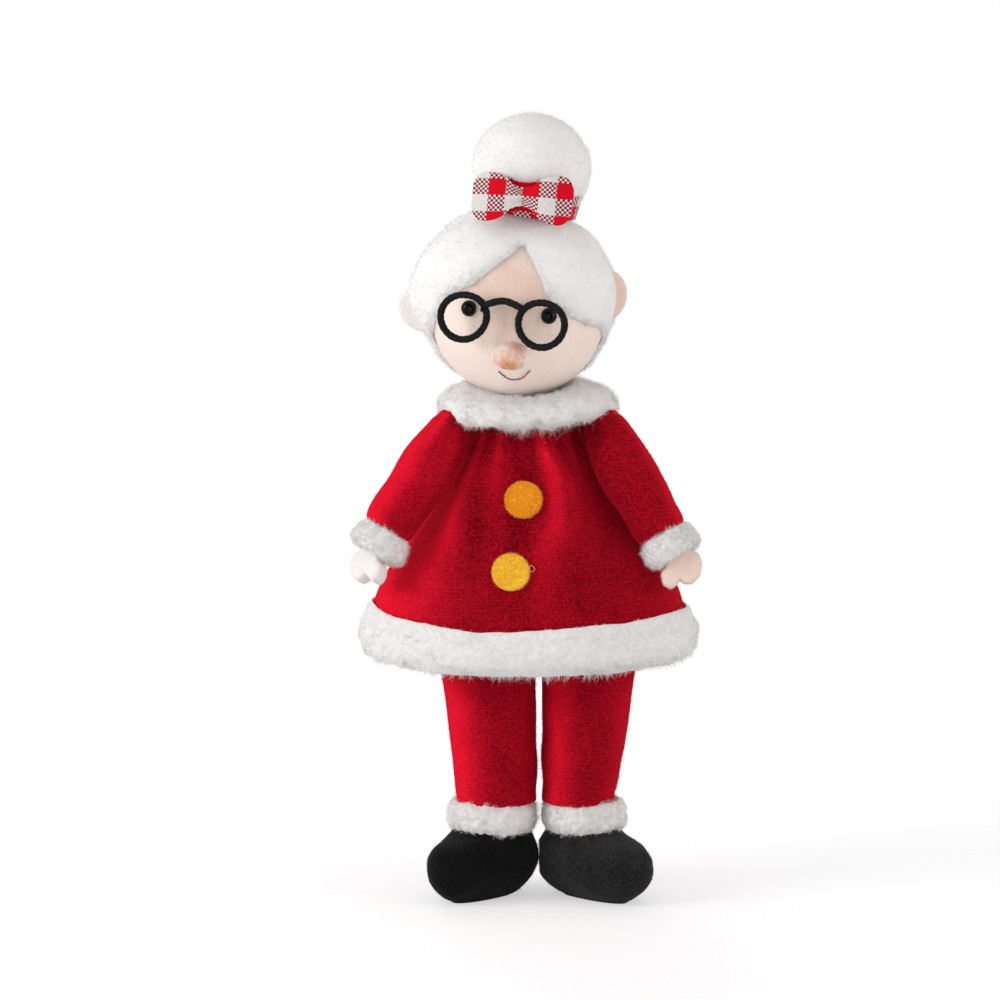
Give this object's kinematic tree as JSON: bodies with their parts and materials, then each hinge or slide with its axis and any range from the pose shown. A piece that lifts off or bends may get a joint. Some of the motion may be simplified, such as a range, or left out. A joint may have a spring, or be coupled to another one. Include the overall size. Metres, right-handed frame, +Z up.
{
  "type": "stuffed cloth doll",
  "caption": "Standing stuffed cloth granny doll in a red fleece coat with white pile trims, a hair bun with a gingham bow, round glasses and black felt boots.",
  "frame": {"origin": "on the floor, under the middle of the object's box", "axes": "+Z up from the soles to the bun, the face towards -Y, the doll's own left side towards +X"},
  "size_m": [0.0696, 0.0434, 0.1572],
  "materials": {
    "red_fleece": "brushed fleece with a soft nap",
    "white_pile": "short fluffy pile",
    "white_hair": "short boiled pile, slightly matted",
    "skin_jersey": "stretched ribbed jersey",
    "nose_cloth": "jersey rubbed with orange colour",
    "skin_felt": "matt felt",
    "black_felt": "matt felt with a light nap",
    "yellow_felt": "matt felt, cut edges",
    "gingham": "woven red and white check",
    "stuffing": "loose fibre filling",
    "black_bead": "glossy bead",
    "black_thread": "wire bound with thread",
    "pink_thread": "embroidery thread",
    "red_thread": "sewing thread"
  },
  "bodies": {
    "torso": {"body_stuffing": "stuffing", "coat": "red_fleece", "coat_hem_trim": "white_pile", "collar_trim": "white_pile", "top_button": "yellow_felt", "bottom_button": "yellow_felt"},
    "neck": {"neck": "stuffing"},
    "head": {"head_stuffing": "stuffing", "face_cover": "skin_jersey", "nose": "nose_cloth", "right_eye_bead": "black_bead", "left_eye_bead": "black_bead", "smile_stitch": "pink_thread", "glasses_frame": "black_thread", "right_ear": "skin_felt", "left_ear": "skin_felt", "right_front_hair": "white_hair", "left_front_hair": "white_hair", "back_hair": "white_hair", "bun_stuffing": "stuffing", "bun_cover": "white_hair", "bun_band": "gingham", "bow": "gingham"},
    "right_shoulder": {"right_shoulder_tack": "red_thread"},
    "right_arm": {"right_sleeve": "red_fleece", "right_arm_stuffing": "stuffing", "right_cuff_trim": "white_pile", "right_hand": "skin_felt"},
    "right_leg": {"right_trouser_leg": "red_fleece", "right_leg_stuffing": "stuffing", "right_ankle_trim": "white_pile", "right_boot": "black_felt", "right_boot_stuffing": "stuffing"},
    "left_shoulder": {"left_shoulder_tack": "red_thread"},
    "left_arm": {"left_sleeve": "red_fleece", "left_arm_stuffing": "stuffing", "left_cuff_trim": "white_pile", "left_hand": "skin_felt"},
    "left_leg": {"left_trouser_leg": "red_fleece", "left_leg_stuffing": "stuffing", "left_ankle_trim": "white_pile", "left_boot": "black_felt", "left_boot_stuffing": "stuffing"}
  },
  "joints": [
    {"name": "head_turn", "type": "hinge", "parent": "torso", "child": "neck", "pos_m": [-0.002, 0.0005, 0.1185], "axis": [0, 0, 1], "range_deg": [-35, 35], "stiffness_Nm_per_rad": 0.02},
    {"name": "head_nod", "type": "hinge", "parent": "neck", "child": "head", "pos_m": [-0.002, 0.0005, 0.1185], "axis": [1, 0, 0], "range_deg": [-10, 10], "stiffness_Nm_per_rad": 0.02},
    {"name": "right_arm_swing", "type": "hinge", "parent": "torso", "child": "right_shoulder", "pos_m": [-0.01611, -0.00586, 0.093], "axis": [-0.9397, -0.342, 0], "range_deg": [-30, 70]},
    {"name": "right_arm_lift", "type": "hinge", "parent": "right_shoulder", "child": "right_arm", "pos_m": [-0.01611, -0.00586, 0.093], "axis": [-0.342, 0.9397, 0], "range_deg": [0, 75]},
    {"name": "right_leg_swing", "type": "hinge", "parent": "torso", "child": "right_leg", "pos_m": [-0.008, 0, 0.0525], "axis": [-1, 0, 0], "range_deg": [-20, 35], "stiffness_Nm_per_rad": 0.06},
    {"name": "left_arm_swing", "type": "hinge", "parent": "torso", "child": "left_shoulder", "pos_m": [0.01602, -0.00583, 0.0932], "axis": [-0.9397, 0.342, 0], "range_deg": [-30, 70]},
    {"name": "left_arm_lift", "type": "hinge", "parent": "left_shoulder", "child": "left_arm", "pos_m": [0.01602, -0.00583, 0.0932], "axis": [-0.342, -0.9397, 0], "range_deg": [0, 75]},
    {"name": "left_leg_swing", "type": "hinge", "parent": "torso", "child": "left_leg", "pos_m": [0.012, 0, 0.0525], "axis": [-1, 0, 0], "range_deg": [-20, 35], "stiffness_Nm_per_rad": 0.06}
  ]
}
